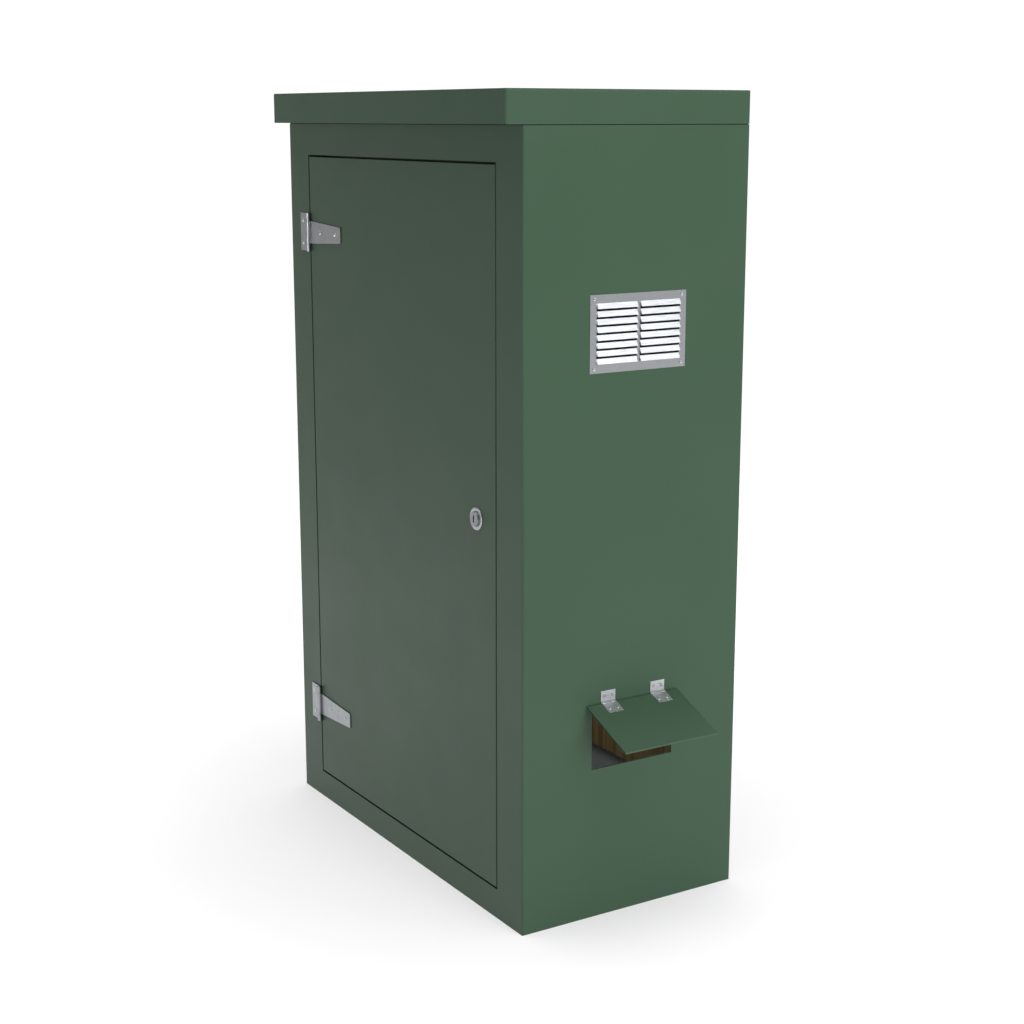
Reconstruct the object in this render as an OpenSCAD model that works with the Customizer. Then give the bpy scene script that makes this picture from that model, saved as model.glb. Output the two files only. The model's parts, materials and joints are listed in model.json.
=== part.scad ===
// Roadside utility cabinet: a moulded glass-fibre kiosk with one hinged door,
// a louvred vent and a hinged flap over a cable opening in its right side.
// X runs across the door from left to right, Y from the door to the back, Z up.
// The origin is on the ground, in the middle of the four base fixings.

/* [Cabinet] */
// Width across the door side
body_w = 1010; // [900:10:1200]
// Depth of the body from front to back
body_d = 532; // [500:2:700]
// Height from the ground to the top of the roof
total_h = 1670; // [1600:10:1900]
// Thickness of the moulded walls
wall = 5; // [4:0.5:7]
// Radius of the upright corners
corner_r = 4; // [2:0.5:8]

/* [Roof] */
// Height of the roof's rim
roof_h = 65; // [50:1:90]
// How far the roof stands out past the door
roof_overhang = 38; // [20:1:60]
// Radius of the roof's edges
roof_r = 4; // [2:0.5:8]
// Shadow gap between the roof and the body
roof_gap = 1.5; // [1:0.5:5]

/* [Base] */
// Width of the flange turned in at the foot
base_flange = 60; // [50:1:80]
// Diameter of the four base fixing holes
anchor_d = 14; // [10:1:18]
// Distance from the outer face to the middle of a base fixing hole
anchor_inset = 35; // [30:1:45]

/* [Door] */
// Width of the doorway
door_gap_w = 816; // [700:2:840]
// Height of the doorway
door_gap_h = 1472; // [1380:2:1480]
// Height of the sill below the doorway
sill_h = 63; // [50:1:90]
// Gap all round the closed door
door_gap = 4; // [3:0.5:6]
// Depth of the door's turned-back edge
door_t = 26; // [22:1:32]
// Width of the lip that the door closes on
lip_w = 22; // [16:1:30]

/* [Door hinges] */
// Height of the upper hinge's middle
upper_hinge_z = 1362; // [1250:1:1420]
// Height of the lower hinge's middle
lower_hinge_z = 236; // [180:1:400]
// Height of the leaf on the frame
leaf_h = 85; // [80:1:100]
// Width of the leaf on the frame
leaf_w = 44; // [40:1:50]
// Length of the strap on the door
strap_l = 156; // [130:1:200]
// Height of the strap at the pin
strap_root_h = 52; // [45:1:60]
// Height of the strap at its end
strap_end_h = 35; // [28:1:40]
// Thickness of the hinge plate
hinge_t = 2.6; // [2:0.1:3]

/* [Lock] */
// Distance of the lock from the middle of the door
lock_x = 331; // [320:1:335]
// Height of the lock
lock_z = 832; // [600:1:1100]
// Diameter of the lock's flange
lock_flange_d = 46.8; // [42:0.2:52]
// Diameter of the turning insert
lock_insert_d = 30; // [24:1:32]
// Length of the cam from the lock's axis
cam_l = 68; // [62:1:72]

/* [Vent] */
// Width of the vent plate
vent_w = 229; // [200:1:260]
// Height of the vent plate
vent_h = 152; // [140:1:180]
// Height of the vent's middle
vent_z = 1209; // [1000:1:1350]
// Rows of louvres
louvre_rows = 8; // [4:1:8]
// Distance that a louvre stands out
louvre_out = 5; // [3:0.5:7]

/* [Cable opening] */
// Width of the opening
cable_w = 201; // [160:1:220]
// Bottom of the opening
cable_z = 322; // [250:1:400]
// Height of the opening
cable_h = 126; // [100:1:130]
// Width of the flap
flap_w = 227; // [220:1:240]
// Length of the flap from its pin to its free edge
flap_l = 147.5; // [135:0.5:160]
// Angle between the flap and the wall as it stands
flap_open = 67.5; // [0:0.5:140]

/* [Hidden] */
$fn = 48;
e = 0.01;
half_w = body_w / 2;
half_d = body_d / 2;
body_top = total_h - roof_h - roof_gap;
front = -half_d;
side = half_w;
gelcoat = [0.26, 0.36, 0.28];
steel = [0.62, 0.63, 0.64];
dark_rubber = [0.1, 0.1, 0.1];

// Flanges and fixings of the roof joint
top_flange = 45;
roof_z = total_h - roof_h;
roof_bolt_inset = 30;
roof_bolt_d = 6;
roof_bolt_x = [-390, -130, 130, 390];
roof_bolt_y = [-130, 130];
clearance = 0.3;
seal_inset = 2;
seal_w = 15;

// Doorway, door and its seal
base_t = 6;
door_w = door_gap_w - 2 * door_gap;
door_h = door_gap_h - 2 * door_gap;
door_z = sill_h + door_gap;
door_back = front + door_t;
seal_t = 4;
lip_front = door_back + seal_t;
lip_back = lip_front + wall;
door_edge_r = 1.6;
door_seal_w = 12;

// Door hinges: a pin in line with the gap beside the door
pin_d = 5.2;
barrel_d = pin_d + 2 * hinge_t;
pin_x = -door_gap_w / 2 + door_gap / 2;
pin_y = front - barrel_d / 2;
running = 0.05;
knuckle_gap = 0.3;
pin_head_t = 1.4;
pin_head_d = 8;
hinge_z = [upper_hinge_z, lower_hinge_z];
screw_d = 5;
screw_head_d = 8.4;
screw_head_h = 2.6;
nut_af = 8;
nut_t = 4;
leaf_screw_x = -30;
leaf_screw_z = 25.5;
strap_screw_x = [56, 130];

// Lock
lock_flange_t = 2.6;
lock_body_d = 38;
lock_body_back = front + 23;
insert_front = front - 7.2;
ledge_t = 3;
neck_d = 12;
square_af = 8;
cam_t = 3;
cam_w = 20;
cam_front = lip_back + 0.7;
cam_back = cam_front + cam_t;
slot_w = 4.4;
slot_h = 16;
slot_depth = 8;
lock_nut_af = 46;
lock_nut_t = 6;

// Vent plate
plate_t = 1.2;
louvre_pitch = 15.3;
louvre_drop = 10.8;
blade_t = 1;
mullion = 7;
louvre_field_w = 199;
louvre_w = (louvre_field_w - mullion) / 2;
louvre_field_h = louvre_rows * louvre_pitch;
louvre_top = vent_z - 1.5 + louvre_field_h / 2;
slots_end = louvre_top - (louvre_rows - 1) * louvre_pitch - louvre_drop;
vent_screw_w = 209;
vent_screw_h = 135;
vent_screw_d = 3.5;

// Flap and its two butt hinges
flap_t = 4;
flap_y = -2;
flap_pin_d = 2;
flap_leaf_t = 1;
flap_barrel_d = flap_pin_d + 2 * flap_leaf_t + 0.6;
flap_pin_off = 3.2;
flap_pin_z = 460;
flap_face = 1.2;
flap_hinge_w = 35;
flap_hinge_y = [-62, 61];
flap_knuckle = 10;
wall_leaf_h = 26;
wall_leaf_foot = 1.2;
flap_leaf_l = 31;
rivet_d = 3.2;
rivet_head_d = 6.4;
rivet_y = 9.5;
wall_rivet_z = 16;
flap_rivet_l = 21;

// Plywood board and its rails
board_y = half_d - 42;
board_t = 12;
board_w = 940;
board_z = 177;
board_h = 1323;
rail_t = half_d - wall - board_y - board_t;
rail_h = 50;
rail_w = 900;
rail_z = [250, 838, 1426];
board_screw_x = [-420, -140, 140, 420];

// A block between two opposite corners
module block(lo, hi) {
    translate(lo)
        cube(hi - lo);
}

// A rectangle with rounded corners
module rounded_rect(w, d, r) {
    square([w - 2 * r, d], center = true);
    square([w, d - 2 * r], center = true);
    for (x = [-1, 1], y = [-1, 1])
        translate([x * (w / 2 - r), y * (d / 2 - r)])
            circle(r = r);
}

// A rectangle standing on y = 0 with its two upper corners rounded
module arched_rect(w, h, r) {
    translate([-w / 2 + r, 0])
        square([w - 2 * r, h]);
    translate([-w / 2, 0])
        square([w, h - r]);
    for (x = [-1, 1])
        translate([x * (w / 2 - r), h - r])
            circle(r = r);
}

// A rectangular ring in the XY plane
module ring(outer_w, outer_d, band, z0, z1) {
    difference() {
        block([-outer_w / 2, -outer_d / 2, z0], [outer_w / 2, outer_d / 2, z1]);
        block([-outer_w / 2 + band, -outer_d / 2 + band, z0 - 1],
              [outer_w / 2 - band, outer_d / 2 - band, z1 + 1]);
    }
}

// Turns a shape made along +Z to point out of the front, along -Y
module facing_front() {
    rotate([90, 0, 0])
        children();
}

// Turns a shape made along +Z to point out of the right side, along +X
module facing_side() {
    rotate([0, 90, 0])
        children();
}

// A domed screw along +Z: its head sits on z = 0 and its shank runs down
module dome_screw(d, head_d, head_h, length) {
    cap_r = (head_d * head_d / 4 + head_h * head_h) / (2 * head_h);
    intersection() {
        translate([0, 0, head_h - cap_r])
            sphere(r = cap_r);
        cylinder(d = head_d, h = head_h + 1);
    }
    translate([0, 0, -length])
        cylinder(d = d, h = length + e);
}

// A hexagon nut along +Z, standing on z = 0
module hex_nut(bore_d, af, t) {
    difference() {
        cylinder(d = af / cos(30), h = t, $fn = 6);
        translate([0, 0, -1])
            cylinder(d = bore_d + 2 * running, h = t + 2);
    }
}

// Repeats its child at each roof bolt
module at_roof_bolts() {
    for (x = roof_bolt_x, y = [-half_d + roof_bolt_inset, half_d - roof_bolt_inset])
        translate([x, y, 0])
            children();
    for (x = [-half_w + roof_bolt_inset, half_w - roof_bolt_inset], y = roof_bolt_y)
        translate([x, y, 0])
            children();
}

// Repeats its child at each screw of the hinge leaves on the frame
module at_leaf_screws() {
    for (z = hinge_z, dz = [-leaf_screw_z, leaf_screw_z])
        translate([pin_x + leaf_screw_x, 0, z + dz])
            children();
}

// Repeats its child at each screw of the hinge straps on the door
module at_strap_screws() {
    for (z = hinge_z, dx = strap_screw_x)
        translate([pin_x + dx, 0, z])
            children();
}

// Repeats its child at each vent screw, on the right side's outer face
module at_vent_screws() {
    for (y = [-vent_screw_w / 2, vent_screw_w / 2], z = [-vent_screw_h / 2, vent_screw_h / 2])
        translate([side, y, vent_z + z])
            facing_side()
                children();
}

// Repeats its child at each rivet of the flap hinges on the wall
module at_wall_rivets() {
    for (y = flap_hinge_y, dy = [-rivet_y, rivet_y])
        translate([side, y + dy, flap_pin_z + wall_rivet_z])
            facing_side()
                children();
}

// The frame of the flap: its pin at the origin, the closed flap hanging down -Z
module on_flap() {
    translate([side + flap_pin_off, 0, flap_pin_z])
        rotate([0, -flap_open, 0])
            children();
}

// Walls, front frame, lip behind the door and the flanges at foot and head, in one moulding
module body_shell() {
    jamb = wall + door_gap_w / 2;
    color(gelcoat)
        difference() {
            union() {
                linear_extrude(height = body_top)
                    difference() {
                        rounded_rect(body_w, body_d, corner_r);
                        square([body_w - 2 * wall, body_d - 2 * wall], center = true);
                    }
                ring(body_w - 2 * wall + 2 * e, body_d - 2 * wall + 2 * e, base_flange - wall, 0, base_t);
                ring(body_w - 2 * wall + 2 * e, body_d - 2 * wall + 2 * e, top_flange - wall,
                     body_top - wall, body_top);
                block([-jamb, front + wall - e, sill_h - wall],
                      [jamb, lip_back, sill_h + door_gap_h + wall]);
            }
            block([-door_gap_w / 2, front - 1, sill_h],
                  [door_gap_w / 2, lip_front, sill_h + door_gap_h]);
            block([-door_gap_w / 2 + lip_w, front, sill_h + lip_w],
                  [door_gap_w / 2 - lip_w, lip_back + 1, sill_h + door_gap_h - lip_w]);
            block([side - wall - 1, -louvre_field_w / 2 - 1, louvre_top - louvre_field_h - 1],
                  [side + 1, louvre_field_w / 2 + 1, louvre_top + 1]);
            block([side - wall - 1, -cable_w / 2, cable_z],
                  [side + 1, cable_w / 2, cable_z + cable_h]);
            for (x = [-1, 1], y = [-1, 1])
                translate([x * (half_w - anchor_inset), y * (half_d - anchor_inset), -1])
                    cylinder(d = anchor_d, h = base_t + 2);
            at_roof_bolts()
                translate([0, 0, body_top - wall - 1])
                    cylinder(d = roof_bolt_d + 2 * clearance, h = wall + 2);
            at_leaf_screws()
                translate([0, front + wall + 1, 0])
                    facing_front()
                        cylinder(d = screw_d + 2 * clearance, h = wall + 2);
            at_vent_screws()
                translate([0, 0, -wall - 1])
                    cylinder(d = vent_screw_d + 2 * running, h = wall + 2);
            at_wall_rivets()
                translate([0, 0, -wall - 1])
                    cylinder(d = rivet_d + 2 * running, h = wall + 2);
        }
}

// Shallow tray with a flange turned in along its lower edge
module roof() {
    depth = body_d + roof_overhang;
    mid_y = -roof_overhang / 2;
    color(gelcoat)
        difference() {
            intersection() {
                translate([0, mid_y, roof_z])
                    linear_extrude(height = roof_h)
                        rounded_rect(body_w, depth, roof_r);
                translate([0, mid_y + depth, roof_z])
                    rotate([90, 0, 0])
                        linear_extrude(height = 2 * depth)
                            arched_rect(body_w, roof_h, roof_r);
                translate([-body_w, mid_y, roof_z])
                    rotate([90, 0, 90])
                        linear_extrude(height = 2 * body_w)
                            arched_rect(depth, roof_h, roof_r);
            }
            block([-half_w + wall, -half_d - roof_overhang + wall, roof_z + wall],
                  [half_w - wall, half_d - wall, total_h - wall]);
            block([-half_w + top_flange, -half_d + top_flange, roof_z - 1],
                  [half_w - top_flange, half_d - top_flange, roof_z + wall + 1]);
            at_roof_bolts()
                translate([0, 0, roof_z - 1])
                    cylinder(d = roof_bolt_d + 2 * clearance, h = wall + 2);
        }
}

// Foam strip squeezed between the roof and the body
module roof_seal() {
    color(dark_rubber)
        ring(body_w - 2 * seal_inset, body_d - 2 * seal_inset, seal_w, body_top, roof_z);
}

// Hexagon-headed bolts up through both flanges
module roof_bolts() {
    head_t = 4;
    grip = wall + roof_gap + wall;
    color(steel)
        at_roof_bolts()
            translate([0, 0, body_top - wall - head_t]) {
                cylinder(d = 10 / cos(30), h = head_t, $fn = 6);
                cylinder(d = roof_bolt_d, h = head_t + grip + 8);
            }
}

// Nuts on the roof bolts
module roof_nuts() {
    color(steel)
        at_roof_bolts()
            translate([0, 0, roof_z + wall])
                hex_nut(roof_bolt_d, 10, 5);
}

// Plywood board that the equipment is screwed to
module backboard() {
    color([0.55, 0.42, 0.25])
        difference() {
            block([-board_w / 2, board_y, board_z], [board_w / 2, board_y + board_t, board_z + board_h]);
            for (x = board_screw_x, z = rail_z)
                translate([x, board_y + board_t + 1, z])
                    facing_front()
                        cylinder(d = 4 + 2 * running, h = board_t + 2);
        }
}

// Softwood rails bonded across the back wall
module backboard_rails() {
    color([0.7, 0.58, 0.4])
        difference() {
            for (z = rail_z)
                block([-rail_w / 2, board_y + board_t, z - rail_h / 2],
                      [rail_w / 2, board_y + board_t + rail_t, z + rail_h / 2]);
            for (x = board_screw_x, z = rail_z)
                translate([x, board_y + board_t + 20, z])
                    facing_front()
                        cylinder(d = 4 + 2 * running, h = 21);
        }
}

// Wood screws that hold the board to its rails
module backboard_screws() {
    color(steel)
        for (x = board_screw_x, z = rail_z)
            translate([x, board_y, z])
                facing_front()
                    dome_screw(4, 8, 2.4, board_t + 18);
}

// One louvre: a blade that leans out of the plate, with a cheek at each end
module louvre(y0, z_top) {
    lean = atan(louvre_out / louvre_drop);
    inner_x = louvre_out - blade_t * cos(lean);
    inner_z = louvre_drop + blade_t * sin(lean);
    translate([side, y0 + louvre_w, z_top])
        rotate([90, 0, 0])
            linear_extrude(height = louvre_w)
                polygon([
                    [0, 0], [plate_t, 0],
                    [plate_t + louvre_out, -louvre_drop],
                    [plate_t + inner_x, -inner_z],
                    [plate_t / 2, -2 * plate_t], [0, -plate_t]
                ]);
    for (y = [y0 + blade_t, y0 + louvre_w])
        translate([side, y, z_top])
            rotate([90, 0, 0])
                linear_extrude(height = blade_t)
                    polygon([
                        [0, -plate_t / 2], [plate_t, -e],
                        [plate_t + louvre_out - e, -louvre_drop],
                        [0, -louvre_drop]
                    ]);
}

// Pressed aluminium plate with two columns of louvres
module vent_louvre() {
    color([0.75, 0.77, 0.78])
        difference() {
            union() {
                difference() {
                    block([side, -vent_w / 2, vent_z - vent_h / 2],
                          [side + plate_t, vent_w / 2, vent_z + vent_h / 2]);
                    for (y0 = [-louvre_field_w / 2, mullion / 2], row = [0:louvre_rows - 1])
                        block([side - 1, y0 + blade_t, max(slots_end, louvre_top - (row + 1) * louvre_pitch)],
                              [side + plate_t + 1, y0 + louvre_w - blade_t,
                               louvre_top - row * louvre_pitch - plate_t]);
                }
                for (y0 = [-louvre_field_w / 2, mullion / 2], row = [0:louvre_rows - 1])
                    louvre(y0, louvre_top - row * louvre_pitch);
            }
            at_vent_screws()
                translate([0, 0, -1])
                    cylinder(d = vent_screw_d + 2 * clearance, h = plate_t + 2);
        }
}

// Four screws into the side wall
module vent_screws() {
    color(steel)
        at_vent_screws()
            translate([0, 0, plate_t])
                dome_screw(vent_screw_d, 6.4, 1.8, 14);
}

// Foam strip on the lip, all round the doorway
module door_seal() {
    outer_w = door_w - 4;
    outer_h = door_h - 4;
    band = door_seal_w;
    color(dark_rubber)
        translate([0, lip_front, sill_h + door_gap_h / 2])
            rotate([90, 0, 0])
                ring(outer_w, outer_h, band, 0, seal_t - clearance);
}

// Frame leaf of a door hinge, with a knuckle at each end of the pin
module hinge_leaf(z) {
    knuckle = (leaf_h - strap_root_h) / 2 - knuckle_gap;
    color(steel)
        translate([pin_x, 0, z])
            difference() {
                union() {
                    block([-leaf_w, front - hinge_t, -leaf_h / 2],
                          [-barrel_d / 2 - 1, front, leaf_h / 2]);
                    for (z0 = [-leaf_h / 2, leaf_h / 2 - knuckle]) {
                        block([-barrel_d / 2 - 1 - e, front - hinge_t, z0], [0, front, z0 + knuckle]);
                        translate([0, pin_y, z0])
                            cylinder(d = barrel_d, h = knuckle);
                    }
                }
                translate([0, pin_y, -leaf_h])
                    cylinder(d = pin_d + 2 * running, h = 2 * leaf_h);
                for (dz = [-leaf_screw_z, leaf_screw_z])
                    translate([leaf_screw_x, front + 1, dz])
                        facing_front()
                            cylinder(d = screw_d + 2 * clearance, h = hinge_t + 2);
            }
}

// Door strap of a door hinge, tapered along the door, with one long knuckle
module hinge_strap(z) {
    color(steel)
        translate([pin_x, 0, z])
            difference() {
                union() {
                    translate([0, front, 0])
                        facing_front()
                            linear_extrude(height = hinge_t)
                                polygon([
                                    [0, -strap_root_h / 2], [strap_l, -strap_end_h / 2],
                                    [strap_l, strap_end_h / 2], [0, strap_root_h / 2]
                                ]);
                    translate([0, pin_y, -strap_root_h / 2])
                        cylinder(d = barrel_d, h = strap_root_h);
                }
                translate([0, pin_y, -leaf_h])
                    cylinder(d = pin_d + 2 * running, h = 2 * leaf_h);
                for (dx = strap_screw_x)
                    translate([dx, front + 1, 0])
                        facing_front()
                            cylinder(d = screw_d + 2 * clearance, h = hinge_t + 2);
            }
}

// Pin of a door hinge, with a riveted head at each end
module hinge_pin(z) {
    reach = leaf_h / 2 + clearance;
    color(steel)
        translate([pin_x, pin_y, z]) {
            translate([0, 0, -reach])
                cylinder(d = pin_d, h = 2 * reach);
            for (z0 = [-reach - pin_head_t, reach])
                translate([0, 0, z0])
                    cylinder(d = pin_head_d, h = pin_head_t);
        }
}

// Screws through the hinge leaves into the frame
module hinge_leaf_screws() {
    color(steel)
        at_leaf_screws()
            translate([0, front - hinge_t, 0])
                facing_front()
                    dome_screw(screw_d, screw_head_d, screw_head_h, hinge_t + wall + nut_t + 2);
}

// Nuts behind the frame
module hinge_leaf_nuts() {
    color(steel)
        at_leaf_screws()
            translate([0, front + wall + nut_t, 0])
                facing_front()
                    hex_nut(screw_d, nut_af, nut_t);
}

// Screws through the hinge straps into the door
module strap_screws() {
    color(steel)
        at_strap_screws()
            translate([0, front - hinge_t, 0])
                facing_front()
                    dome_screw(screw_d, screw_head_d, screw_head_h, hinge_t + wall + nut_t + 2);
}

// Nuts behind the door's skin
module strap_nuts() {
    color(steel)
        at_strap_screws()
            translate([0, front + wall + nut_t, 0])
                facing_front()
                    hex_nut(screw_d, nut_af, nut_t);
}

// Moulded door: a flat skin with its edges turned back
module door_panel() {
    color(gelcoat)
        difference() {
            intersection() {
                translate([0, door_back, door_z])
                    linear_extrude(height = door_h)
                        mirror([0, 1])
                            arched_rect(door_w, door_t, door_edge_r);
                translate([-door_w, door_back, door_z + door_h / 2])
                    rotate([0, 90, 0])
                        linear_extrude(height = 2 * door_w)
                            mirror([0, 1])
                                arched_rect(door_h, door_t, door_edge_r);
            }
            block([-door_w / 2 + wall, front + wall, door_z + wall],
                  [door_w / 2 - wall, door_back + 1, door_z + door_h - wall]);
            at_strap_screws()
                translate([0, front + wall + 1, 0])
                    facing_front()
                        cylinder(d = screw_d + 2 * clearance, h = wall + 2);
            translate([lock_x, front + wall + 1, lock_z])
                facing_front()
                    cylinder(d = lock_body_d + 2 * clearance, h = wall + 2);
        }
}

// Flanged barrel of the lock, pushed through the door from outside
module lock_housing() {
    depth = lock_body_back - front;
    chamfer = 1;
    color(steel)
        translate([lock_x, lock_body_back, lock_z])
            facing_front()
                difference() {
                    rotate_extrude()
                        polygon([
                            [0, 0], [lock_body_d / 2, 0], [lock_body_d / 2, depth],
                            [lock_flange_d / 2, depth],
                            [lock_flange_d / 2, depth + lock_flange_t - chamfer],
                            [lock_flange_d / 2 - chamfer, depth + lock_flange_t],
                            [0, depth + lock_flange_t]
                        ]);
                    translate([0, 0, ledge_t])
                        cylinder(d = lock_insert_d + 2 * running, h = depth + lock_flange_t);
                    translate([0, 0, -1])
                        cylinder(d = neck_d + 2 * running, h = ledge_t + 2);
                }
}

// Ring nut that clamps the lock behind the door's skin
module lock_nut() {
    color(steel)
        translate([lock_x, front + wall + lock_nut_t, lock_z])
            facing_front()
                hex_nut(lock_body_d, lock_nut_af, lock_nut_t);
}

// Turning insert with a key slot, a neck and a square for the cam
module lock_insert() {
    shoulder = lock_body_back - ledge_t - clearance;
    color([0.68, 0.69, 0.7])
        translate([lock_x, 0, lock_z])
            difference() {
                union() {
                    translate([0, shoulder, 0])
                        facing_front()
                            rotate_extrude()
                                polygon([
                                    [0, 0], [lock_insert_d / 2, 0],
                                    [lock_insert_d / 2, shoulder - insert_front - 0.8],
                                    [lock_insert_d / 2 - 0.8, shoulder - insert_front],
                                    [0, shoulder - insert_front]
                                ]);
                    translate([0, cam_front, 0])
                        facing_front()
                            cylinder(d = neck_d, h = cam_front - shoulder + e);
                    block([-square_af / 2, cam_front - e, -square_af / 2],
                          [square_af / 2, cam_back, square_af / 2]);
                }
                block([-slot_w / 2, insert_front - 1, -slot_h / 2],
                      [slot_w / 2, insert_front + slot_depth, slot_h / 2]);
                translate([0, cam_back + 1, 0])
                    facing_front()
                        cylinder(d = 5 + 2 * running, h = 13);
            }
}

// Steel cam that swings behind the lip
module lock_cam() {
    color(steel)
        translate([lock_x, cam_back, lock_z])
            facing_front()
                difference() {
                    union() {
                        cylinder(d = cam_w, h = cam_t);
                        block([-cam_w / 2, -cam_l + cam_w / 2, 0], [cam_w / 2, 0, cam_t]);
                        translate([0, -cam_l + cam_w / 2, 0])
                            cylinder(d = cam_w, h = cam_t);
                    }
                    block([-square_af / 2 - running, -square_af / 2 - running, -1],
                          [square_af / 2 + running, square_af / 2 + running, cam_t + 1]);
                }
}

// Screw that holds the cam on its square
module lock_cam_screw() {
    color(steel)
        translate([lock_x, cam_back, lock_z])
            rotate([-90, 0, 0])
                dome_screw(5, 13, 3.4, 10);
}

// Wall leaf of a flap hinge, with the two outer knuckles
module flap_wall_leaf(y) {
    color([0.72, 0.73, 0.74])
        difference() {
            union() {
                block([side, y - flap_hinge_w / 2, flap_pin_z + wall_leaf_foot],
                      [side + flap_leaf_t, y + flap_hinge_w / 2, flap_pin_z + wall_leaf_h]);
                for (y0 = [y - flap_hinge_w / 2, y + flap_hinge_w / 2 - flap_knuckle]) {
                    block([side, y0, flap_pin_z],
                          [side + flap_leaf_t, y0 + flap_knuckle, flap_pin_z + wall_leaf_foot + e]);
                    translate([side + flap_pin_off, y0 + flap_knuckle, flap_pin_z])
                        rotate([90, 0, 0])
                            cylinder(d = flap_barrel_d, h = flap_knuckle);
                }
            }
            translate([side + flap_pin_off, y + flap_hinge_w, flap_pin_z])
                rotate([90, 0, 0])
                    cylinder(d = flap_pin_d + 2 * running, h = 2 * flap_hinge_w);
            at_wall_rivets()
                translate([0, 0, -1])
                    cylinder(d = rivet_d + 2 * running, h = flap_leaf_t + 2);
        }
}

// Flap leaf of a flap hinge, with the middle knuckle
module flap_leaf(y) {
    knuckle = flap_hinge_w - 2 * flap_knuckle - 2 * knuckle_gap;
    near = flap_barrel_d / 2;
    color([0.72, 0.73, 0.74])
        on_flap()
            difference() {
                union() {
                    block([flap_face, y - flap_hinge_w / 2, -flap_leaf_l],
                          [flap_face + flap_leaf_t, y + flap_hinge_w / 2, -near]);
                    block([flap_face, y - knuckle / 2, -near - e],
                          [flap_face + flap_leaf_t, y + knuckle / 2, 0]);
                    translate([0, y + knuckle / 2, 0])
                        rotate([90, 0, 0])
                            cylinder(d = flap_barrel_d, h = knuckle);
                }
                translate([0, y + flap_hinge_w, 0])
                    rotate([90, 0, 0])
                        cylinder(d = flap_pin_d + 2 * running, h = 2 * flap_hinge_w);
                for (dy = [-rivet_y, rivet_y])
                    translate([0, y + dy, -flap_rivet_l])
                        facing_side()
                            cylinder(d = rivet_d + 2 * running, h = flap_face + flap_leaf_t + 1);
            }
}

// Pin of a flap hinge, with a small head at each end
module flap_pin(y) {
    reach = flap_hinge_w / 2 + clearance;
    head_t = 0.8;
    color(steel)
        translate([side + flap_pin_off, y, flap_pin_z])
            rotate([90, 0, 0]) {
                translate([0, 0, -reach])
                    cylinder(d = flap_pin_d, h = 2 * reach);
                for (z0 = [-reach - head_t, reach])
                    translate([0, 0, z0])
                        cylinder(d = flap_pin_d + 1.4, h = head_t);
            }
}

// A blind rivet along +Z: head on z = 0, closed bulb under the sheet
module rivet(grip) {
    dome_screw(rivet_d, rivet_head_d, 1.4, grip);
    translate([0, 0, -grip - 3])
        cylinder(d = rivet_d + 1.6, h = 3 + e);
}

// Rivets through the wall leaves and the side wall
module flap_wall_rivets() {
    color(steel)
        at_wall_rivets()
            translate([0, 0, flap_leaf_t])
                rivet(flap_leaf_t + wall);
}

// Rivets through the flap leaves and the flap
module flap_panel_rivets() {
    color(steel)
        on_flap()
            for (y = flap_hinge_y, dy = [-rivet_y, rivet_y])
                translate([flap_face + flap_leaf_t, y + dy, -flap_rivet_l])
                    facing_side()
                        rivet(flap_leaf_t + flap_t);
}

// Flat moulded flap over the cable opening
module flap_panel() {
    notch = flap_hinge_w / 2 + 1.6;
    edge_r = 1.4;
    color(gelcoat)
        on_flap()
            difference() {
                intersection() {
                    translate([flap_face - flap_t, flap_y, -flap_l])
                        linear_extrude(height = flap_l)
                            rotate(-90)
                                arched_rect(flap_w, flap_t, edge_r);
                    translate([flap_face - flap_t, flap_y + flap_w, -flap_l / 2])
                        rotate([90, 90, 0])
                            linear_extrude(height = 2 * flap_w)
                                arched_rect(flap_l, flap_t, edge_r);
                }
                for (y = flap_hinge_y)
                    block([flap_face - flap_t - 1, y - notch, -flap_pin_off + clearance],
                          [flap_face + 1, y + notch, 1]);
                for (y = flap_hinge_y, dy = [-rivet_y, rivet_y])
                    translate([flap_face - flap_t - 1, y + dy, -flap_rivet_l])
                        facing_side()
                            cylinder(d = rivet_d + 2 * running, h = flap_t + 2);
            }
}

body_shell();
roof();
roof_seal();
roof_bolts();
roof_nuts();
backboard();
backboard_rails();
backboard_screws();
vent_louvre();
vent_screws();
door_seal();
hinge_leaf(upper_hinge_z);  // upper_hinge_leaf
hinge_leaf(lower_hinge_z);  // lower_hinge_leaf
hinge_pin(upper_hinge_z);  // upper_hinge_pin
hinge_pin(lower_hinge_z);  // lower_hinge_pin
hinge_leaf_screws();
hinge_leaf_nuts();
flap_wall_leaf(flap_hinge_y[0]);  // flap_wall_leaf_front
flap_wall_leaf(flap_hinge_y[1]);  // flap_wall_leaf_rear
flap_pin(flap_hinge_y[0]);  // flap_pin_front
flap_pin(flap_hinge_y[1]);  // flap_pin_rear
flap_wall_rivets();
door_panel();
hinge_strap(upper_hinge_z);  // upper_hinge_strap
hinge_strap(lower_hinge_z);  // lower_hinge_strap
strap_screws();
strap_nuts();
lock_housing();
lock_nut();
lock_insert();
lock_cam();
lock_cam_screw();
flap_panel();
flap_leaf(flap_hinge_y[0]);  // flap_leaf_front
flap_leaf(flap_hinge_y[1]);  // flap_leaf_rear
flap_panel_rivets();
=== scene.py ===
import json

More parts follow.
